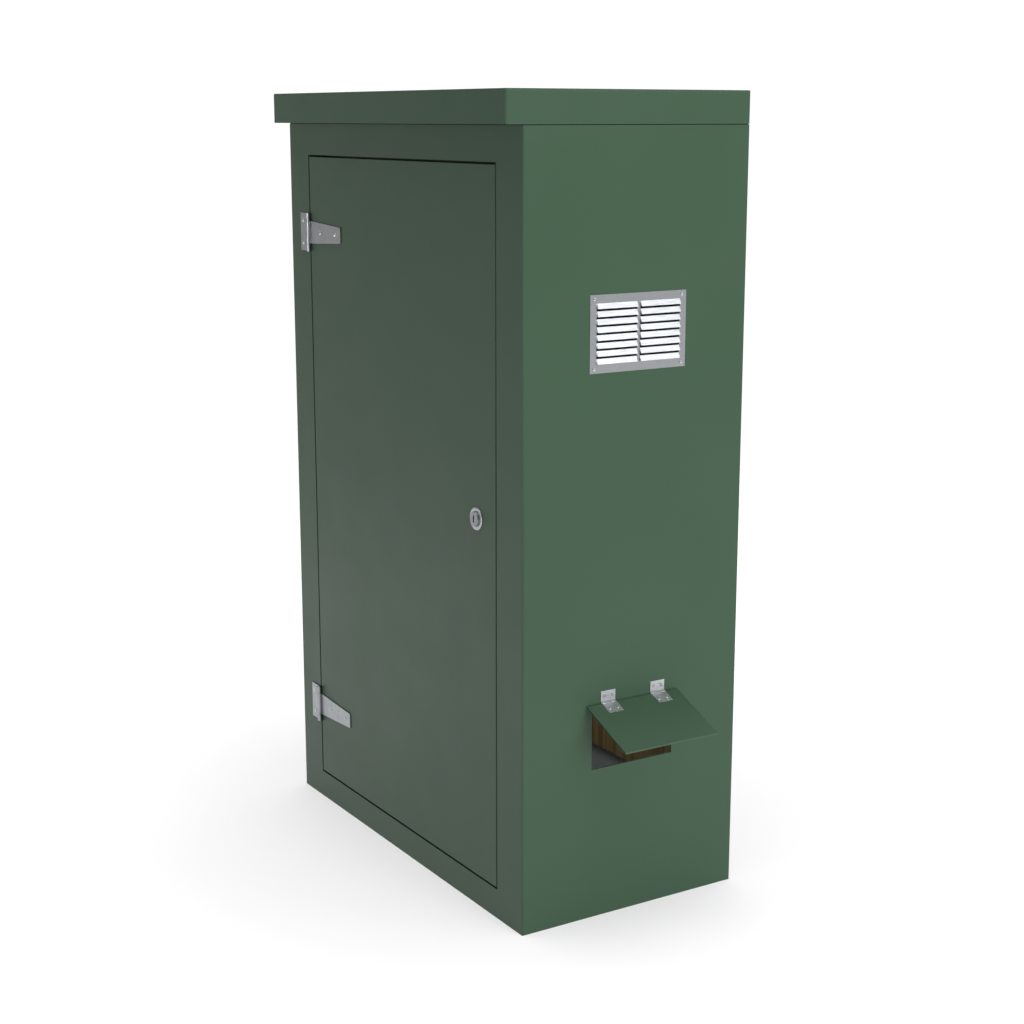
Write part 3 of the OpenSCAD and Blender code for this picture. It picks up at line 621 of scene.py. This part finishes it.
knuckleHalf = doorHinge["root"] / 2 + doorHinge["gap"]
leafHalf = doorHinge["leafTall"] / 2
leafColumns = np.unique([*np.linspace(-1, 1, 9), -knuckleHalf / leafHalf, knuckleHalf / leafHalf])
pressed = {"sheet": doorHinge["sheet"] * mm, "bevel": doorHinge["edge"] * mm}
for place, z in doorHinge["z"].items():
    seat = [(pinX, frontY, z * mm)]
    strap, _ = curledPlate(
        doorHinge["strapLong"], strapHalf, barrelOut, doorHinge["sheet"] / 2, barrelMiddle,
        np.linspace(-1, 1, 9))
    strapPiece = surface(place + "StrapPressing", placed(strap, seat, **onDoorSide), **pressed)
    finishPiece(strapPiece, [place + "_hinge_strap"])
    leaf, keep = curledPlate(
        doorHinge["leafWide"], lambda reach: np.full_like(reach, leafHalf), barrelOut,
        doorHinge["sheet"] / 2, barrelMiddle, leafColumns,
        [(knuckleHalf, leafHalf), (-leafHalf, -knuckleHalf)], barrelOut + doorHinge["notch"])
    leaf = leaf * (-1, 1, 1)
    leafPiece = surface(place + "LeafPressing", placed(leaf, seat, **onDoorSide), keep=keep, **pressed)
    finishPiece(leafPiece, [place + "_hinge_leaf"])
    pin = peenedPin(doorHinge["pin"] - doorHinge["pinFit"], doorHinge["pinHead"],
                    leafHalf + doorHinge["gap"], doorHinge["peen"])
    pinSeat = [(pinX, frontY - barrelOut * mm, z * mm)]
    finishPiece(surface(place + "PeenedPin", placed(pin, pinSeat, (1, 0, 0), (0, 1, 0)), wrapColumns=True),
                [place + "_hinge_pin"])

half = flapHinge["width"] / 2
outerFrom = half - flapHinge["knuckle"]      # the wall leaf's two knuckles start here
innerTo = outerFrom - flapHinge["clear"]     # the flap leaf's one knuckle ends here
wallSteps = np.unique([*np.linspace(-1, 1, 7), -outerFrom / half, outerFrom / half])
flapSteps = np.unique([*np.linspace(-1, 1, 7), -innerTo / half, innerTo / half])
sheet = flapHinge["sheet"]
rolled = {"sheet": sheet * mm, "bevel": flapHinge["edge"] * mm}
for place, y in zip(("front", "rear"), flapHinge["y"]):
    wallSeat = [(sideX, y * mm, flapPin[2])]
    wallLeaf, keep = curledPlate(
        flapHinge["wallLeaf"], lambda reach: np.full_like(reach, half), flapHinge["pinOut"], sheet / 2,
        flapHinge["curl"], wallSteps, [(outerFrom, half), (-half, -outerFrom)], flapHinge["wallNotch"])
    wallPiece = surface(place + "FlapWallLeaf", placed(wallLeaf, wallSeat, (0, 0, 1), (0, -1, 0)),
                        keep=keep, **rolled)
    finishPiece(wallPiece, ["flap_wall_leaf_" + place], slotMaterials["rolled_leaf"])
    flapSeat = [flapPin + (0, y * mm, 0)]
    flapLeaf, keep = curledPlate(
        flapHinge["flapLeaf"], lambda reach: np.full_like(reach, half), 0, flapHinge["face"] + sheet / 2,
        flapHinge["curl"], flapSteps, [(-innerTo, innerTo)], flapHinge["flapNotch"], under=False)
    flapPiece = surface(place + "FlapLeaf", placed(flapLeaf, flapSeat, **onFlap), keep=keep, **rolled)
    finishPiece(flapPiece, ["flap_leaf_" + place], slotMaterials["rolled_leaf"])
    pin = peenedPin(flapHinge["pin"], flapHinge["pinHead"], half + flapHinge["clear"], flapHinge["peen"])
    pinPoints = placed(pin, flapSeat, (1, 0, 0), (0, 0, 1))
    finishPiece(surface(place + "FlapPeenedPin", pinPoints, wrapColumns=True), ["flap_pin_" + place])
print("hinges made")


vent = {
    "wide": 229, "tall": 152, "middle": 1209, "sheet": 1.0, "edge": 0.18,
    "rows": 8, "pitch": 15.3, "field": 199, "mullion": 7,
    "raise": -1.5,             # the field of louvres above the plate's middle
    # each louvre: its height, how far it stands out, its ends, the bend at its top, its lower lip
    "drop": 10.8, "out": 5.0, "end": 0.9, "bend": 1.2, "lip": 0.3,
}


def ventPressing():
    # One sheet as a height over (y, z): each louvre rises in a straight slope after a small bend, its
    # two ends rise steeply as a smooth step, and the quads below its lip are left out, which opens the slot
    column = (vent["field"] - vent["mullion"]) / 2
    starts = np.array([-vent["field"] / 2, vent["mullion"] / 2])
    ramp = vent["end"] * np.linspace(0, 1, 6)
    across = [-vent["wide"] / 2, vent["wide"] / 2]
    for first in starts:
        last = first + column
        between = np.linspace(first + vent["end"], last - vent["end"], 9)
        across += [*(first + ramp), *(last - ramp), *between]
    y = np.unique(np.round(across, 6))
    rise = np.zeros_like(y)
    for first in starts:
        inward = np.clip(np.minimum(y - first, first + column - y) / vent["end"], 0, 1)
        rise = np.maximum(rise, smoothStep(inward, 0, 1))
    top = vent["middle"] + vent["raise"] + vent["rows"] * vent["pitch"] / 2
    slope = np.array([0, 0.03, 0.07, 0.12, 0.2, 0.45, 0.75, 1.0])
    soft = vent["bend"] / vent["drop"]
    lean = np.where(slope < soft, slope ** 2 / (2 * soft), slope - soft / 2) / (1 - soft / 2)
    z = [vent["middle"] + vent["tall"] / 2]
    out = [0.0]
    for row in range(vent["rows"]):
        z += list(top - row * vent["pitch"] - slope * vent["drop"])
        out += list(lean * vent["out"])
    z += [z[-1] - vent["lip"], vent["middle"] - vent["tall"] / 2]
    out += [0.0, 0.0]
    z, out = np.array(z), np.array(out)
    height = vent["sheet"] / 2 + out[:, None] * rise[None]
    points = np.stack(np.broadcast_arrays(y[None], z[:, None], height), -1)
    slots = (out[:-1] > out[1:])[:, None] & ((rise[:-1] > 0) | (rise[1:] > 0))[None]
    return points * mm, ~slots


points, keep = ventPressing()
ventPiece = surface("louvrePressing", placed(points, [(sideX, 0, 0)], **onRightSide), keep=keep,
                    sheet=vent["sheet"] * mm, bevel=vent["edge"] * mm)
finishPiece(ventPiece, ["vent_louvre"])
print("vent made")


lock = {
    "x": 331, "z": 832,
    # housing: flange and body, then the bore and the hole for the spindle
    "flange": 23.4, "proud": 2.6, "chamfer": 1, "body": 19, "bodyEnd": -23,
    "fit": 0.25, "boreEnd": -20, "spindleHole": 6.05,
    # insert: face with a slot, then the spindle and the cam's seat (radius and end of each)
    "insert": 15, "face": 7.2, "faceFlat": 2.2, "faceChamfer": (0.6, 0.8), "insertEnd": -19.7,
    "spindle": (6, -35.7), "camSeat": (4, -38.7), "slot": (16, 4.4), "slotDeep": 8, "slotClear": 2,
    "mouthEdge": 0.8, "edge": 0.5,
}
camScrewSizes = {"radius": 6.5, "height": 3.4, "shank": 2.5, "length": 10, "cross": 1.5}


def fillet(fromPoint, corner, toPoint, radius, steps=5):
    # a round corner as a quadratic curve between two points set back from the corner
    fromPoint, corner, toPoint = (np.array(p, float) for p in (fromPoint, corner, toPoint))
    first = corner + radius * (fromPoint - corner) / np.linalg.norm(fromPoint - corner)
    last = corner + radius * (toPoint - corner) / np.linalg.norm(toPoint - corner)
    t = np.linspace(0, 1, steps)[:, None]
    return [*map(tuple, (1 - t) ** 2 * first + 2 * t * (1 - t) * corner + t ** 2 * last)]


lockSeat = [(lock["x"] * mm, frontY, lock["z"] * mm)]
bore, boreEnd = lock["insert"] + lock["fit"], lock["boreEnd"]
flange, proud, chamfer, edge = (lock[key] for key in ("flange", "proud", "chamfer", "edge"))
housing = [
    (bore, boreEnd), *fillet((bore, boreEnd), (bore, proud), (flange, proud), lock["mouthEdge"]),
    *fillet((bore, proud), (flange - chamfer, proud), (flange, proud - chamfer), edge),
    *fillet((flange - chamfer, proud), (flange, proud - chamfer), (flange, 0), edge),
    (flange, 0), (lock["body"], 0), (lock["body"], lock["bodyEnd"]),
    (lock["spindleHole"], lock["bodyEnd"]), (lock["spindleHole"], boreEnd)]
housingPiece = surface("lockHousingTurned", placed(turned(housing, 96) * mm, lockSeat, **onDoorSide),
                       wrapRows=True, wrapColumns=True, smooth=30)
finishPiece(housingPiece, ["lock_housing"])
radius, face, insertEnd = lock["insert"], lock["face"], lock["insertEnd"]
inFrom, downTo = radius - lock["faceChamfer"][0], face - lock["faceChamfer"][1]
(spindle, spindleEnd), (camSeatRadius, camSeatEnd) = lock["spindle"], lock["camSeat"]
insert = [
    (0, face), (radius - lock["faceFlat"], face),
    *fillet((0, face), (inFrom, face), (radius, downTo), edge),
    *fillet((inFrom, face), (radius, downTo), (radius, insertEnd), edge),
    (radius, insertEnd), (spindle, insertEnd), (spindle, spindleEnd),
    (camSeatRadius, spindleEnd), (camSeatRadius, camSeatEnd), (0, camSeatEnd)]
insertPiece = surface("lockInsertTurned", placed(turned(insert, 96) * mm, lockSeat, **onDoorSide),
                      wrapColumns=True, smooth=30)
# the slot's cutter: an outline with round ends at four levels, closed to a point at both ends
tall, wide = lock["slot"]
angle = np.linspace(0, 2 * np.pi, 48, endpoint=False)
upright = wide / 2 * np.sin(angle) + np.sign(np.sin(angle)) * (tall - wide) / 2
racetrack = np.stack([wide / 2 * np.cos(angle), upright], -1)
above, bottom = face + lock["slotClear"], face - lock["slotDeep"]
levels = np.array([above, above, bottom, bottom])
grow = np.array([0, 1, 1, 0])
cutter = np.concatenate([racetrack[None] * grow[:, None, None],
                         np.broadcast_to(levels[:, None, None], (len(levels), len(angle), 1))], -1)
cutterPiece = surface("slotCutter", placed(cutter * mm, lockSeat, **onDoorSide), wrapColumns=True)
cut = insertPiece.modifiers.new("slot", "BOOLEAN")
cut.object = cutterPiece
cut.solver = "EXACT"
applyModifiers(insertPiece)
bpy.data.objects.remove(cutterPiece)
shade(insertPiece, 30)
finishPiece(insertPiece, ["lock_insert"], slotMaterials["turning_insert"])
camScrew = domedHead(*(size * mm for size in camScrewSizes.values()))
camSeat = [(lock["x"] * mm, float(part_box("lock_cam")[1][1]), lock["z"] * mm)]
camScrewPoints = placed(camScrew, camSeat, (-1, 0, 0), (0, 0, 1))
finishPiece(surface("lockCamCrosshead", camScrewPoints, wrapColumns=True), ["lock_cam_screw"])
print("lock made")


def rectanglePath(wide, deep, radius, steps=8):
    # a rectangle with round corners: its points and the outward direction at each
    turns = np.concatenate([np.radians(np.linspace(90 * k, 90 * k + 90, steps)) for k in range(4)])
    corners = np.repeat([(1, 1), (-1, 1), (-1, -1), (1, -1)], steps, axis=0)
    outward = np.stack([np.cos(turns), np.sin(turns)], -1)
    centre = corners * (wide / 2 - radius, deep / 2 - radius)
    return centre + radius * outward, outward


def carried(path, outward, section, axes, origin):
    # a closed section of (outward, along the third axis) carried round a flat path
    first, second, third = (np.array(a, float) for a in axes)
    flat = path[:, None] + section[None, :, :1] * outward[:, None]
    return flat[..., :1] * first + flat[..., 1:] * second + section[None, :, 1:] * third + np.array(origin)


doorSeal = {"half": 6, "bulb": 2.6, "bulbAt": 3.4, "lift": 0.9, "corner": 4}
sealLow, sealHigh = nodeBox("door_seal")
size, middle = (sealHigh - sealLow) / mm, (sealLow + sealHigh) / 2 / mm
angle = np.linspace(0, np.pi, 12)
bulbOut = doorSeal["bulbAt"] + doorSeal["bulb"] * np.cos(np.pi - angle)
bulbUp = doorSeal["lift"] + doorSeal["bulb"] * np.sin(angle)
# a flat foot under two round bulbs side by side
bulbs = np.concatenate([
    [(-doorSeal["half"], 0)], np.stack([bulbOut - 2 * doorSeal["bulbAt"], bulbUp], -1),
    np.stack([bulbOut, bulbUp], -1), [(doorSeal["half"], 0)]])
foot = 2 * doorSeal["half"]
path, outward = rectanglePath(size[0] - foot, size[2] - foot, doorSeal["corner"])
sealPoints = carried(path, outward, bulbs, [(1, 0, 0), (0, 0, 1), (0, -1, 0)],
                     (middle[0], sealHigh[1] / mm, middle[2])) * mm
finishPiece(surface("doorSealTwinBulb", sealPoints, wrapRows=True, wrapColumns=True), ["door_seal"])

roofSeal = {"wide": 15, "half": 7.4, "square": 0.35}
sealLow, sealHigh = nodeBox("roof_seal")
size, middle = (sealHigh - sealLow) / mm, (sealLow + sealHigh) / 2 / mm
# a superellipse: cosine and sine to a small power, which squares the squeezed strip
angle = np.linspace(0, 2 * np.pi, 24, endpoint=False)
circle = np.stack([np.cos(angle), np.sin(angle)], -1)
squared = np.sign(circle) * np.abs(circle) ** roofSeal["square"]
squeezed = (squared + (0, 1)) * (roofSeal["half"], size[2] / 2)
# mitred at the corners: each corner's direction is its diagonal
mitres = np.array([(1, 1), (-1, 1), (-1, -1), (1, -1)])
sealPoints = carried(mitres * (size[:2] - roofSeal["wide"]) / 2, mitres, squeezed,
                     [(1, 0, 0), (0, 1, 0), (0, 0, 1)], (middle[0], middle[1], sealLow[2] / mm)) * mm
finishPiece(surface("roofSealFoam", sealPoints, wrapRows=True, wrapColumns=True), ["roof_seal"])
print("seals made")


studio = {
    "floor": "#b0b0b0", "reach": 3.2,
    # painted light: the floor's own glow, its strength near and far, and the distances of near and far
    "glow": (0.45, 0.6), "glowFrom": (0.7, 1.7),
    # light from the surroundings overhead, level and below, and how bright the backdrop is seen
    "world": {"zenith": 0.12, "horizon": 0.5, "below": 1.1, "seen": 1.05},
    # broad overhead light: where it comes from, its width in degrees and its strength
    "skylight": ((-0.1, 0.0, 0.99), 60, 3.25),
    # lamp: place, aim, width, power in watts, lights surfaces, shows in reflections
    "lamps": {
        "backRightPanel": ((3.4, 2.2, 3.3), (0.5, 0, 1.1), 2.0, 26, True, False),
        "backRightGlint": ((3.3, 2.12, 3.22), (0.5, 0, 1.1), 2.0, 32, False, True),
        "rightPanel": ((4.5, 0.3, 1.6), (0.5, 0, 0.85), 2.2, 131, True, False),
        "frontFill": ((1.4, -4.0, 1.2), (0.0, -0.2, 0.8), 0.8, 2, True, False),
        "frontGlint": ((1.4, -4.0, 1.0), (0.0, -0.2, 0.8), 0.8, 35, False, True),
        "insideGlow": ((0.1, -0.15, 0.6), (0.1, 0.24, 0.1), 0.2, 0.75, True, False),
    },
}


def floorSheet():
    reach = np.linspace(-studio["reach"], studio["reach"], 3)
    piece = surface("studioFloor", np.stack(np.meshgrid(reach, reach, [0.0]), -1)[:, :, 0], smooth=10)
    # Matt painted board, pale and almost without gloss
    material, tree, shader, place = newMaterial(
        "palePaintedFloor", {"Roughness": 0.9, "Specular IOR Level": 0.1})
    shader.inputs["Base Color"].default_value = linearColour(studio["floor"])
    # painted light: the floor glows a little, more with distance and not inside the foot, which keeps the
    # shadow pale and wide
    foot = insideBoxes(tree, place, [((*shellLow[:2], -1), (*shellHigh[:2], 1))])
    away = addNode(tree, "ShaderNodeVectorMath", {"operation": "LENGTH"}, {0: place}).outputs["Value"]
    glow = spread(tree, away, *studio["glow"], *studio["glowFrom"])
    paintedFloorGlow = maths(tree, "MULTIPLY", maths(tree, "SUBTRACT", 1.0, foot), glow)
    tree.links.new(paintedFloorGlow, shader.inputs["Emission Strength"])
    piece.data.materials.append(material)
    if piece.data.polygons[0].normal.z < 0:
        piece.data.flip_normals()


def aimed(name, data, location, direction):
    lamp = bpy.data.objects.new(name, data)
    bpy.context.scene.collection.objects.link(lamp)
    lamp.location = location
    lamp.rotation_euler = Vector(direction).to_track_quat("-Z", "Y").to_euler()
    lamp.visible_camera = False
    return lamp


def softLight(name, location, target, size, power, lights, reflects):
    data = bpy.data.lights.new(name, "AREA")
    data.shape = "DISK"
    data.size = size
    data.energy = power
    lamp = aimed(name, data, location, Vector(target) - Vector(location))
    lamp.visible_diffuse = lights
    lamp.visible_glossy = reflects


def skylight():
    toward, width, strength = studio["skylight"]
    data = bpy.data.lights.new("skylight", "SUN")
    data.angle = np.radians(width)
    data.energy = strength
    aimed("skylight", data, (0, 0, 4), -Vector(toward))


def studioWorld():
    # white behind the object; the light it gives is dim, as in a dark studio over a pale floor
    world = bpy.data.worlds.new("studioWorld")
    bpy.context.scene.world = world
    world.use_nodes = True
    tree = world.node_tree
    direction = addNode(tree, "ShaderNodeTexCoord").outputs["Generated"]
    up = addNode(tree, "ShaderNodeSeparateXYZ", {}, {0: direction}).outputs[2]
    levels = studio["world"]
    above = spread(tree, up, levels["horizon"], levels["zenith"], 0.0, 0.7)
    below = spread(tree, up, levels["below"] - levels["horizon"], 0.0, -0.4, 0.0)
    level = maths(tree, "ADD", above, below)
    seen = addNode(tree, "ShaderNodeLightPath").outputs["Is Camera Ray"]
    strength = addNode(tree, "ShaderNodeMix", {"data_type": "FLOAT"}, {
        0: seen, 2: level, 3: levels["seen"]}).outputs[0]
    background = tree.nodes["Background"]
    background.inputs["Color"].default_value = (1, 1, 1, 1)
    tree.links.new(strength, background.inputs["Strength"])


cameraStand = {
    "place": (3.355, -2.061, 1.618), "toward": (-0.82967, 0.51539, -0.21452), "lens": 63.21, "sensor": 36,
}


def standCamera():
    # off the cabinet's right front corner, at eye height
    data = bpy.data.cameras.new("camera")
    data.sensor_width = cameraStand["sensor"]
    data.lens = cameraStand["lens"]
    camera = bpy.data.objects.new("camera", data)
    bpy.context.scene.collection.objects.link(camera)
    camera.location = cameraStand["place"]
    camera.rotation_euler = Vector(cameraStand["toward"]).to_track_quat("-Z", "Y").to_euler()
    bpy.context.scene.camera = camera


floorSheet()
studioWorld()
skylight()
for lampName, settings in studio["lamps"].items():
    softLight(lampName, *settings)
standCamera()
bpy.context.scene.view_settings.view_transform = "Standard"
print("studio set")
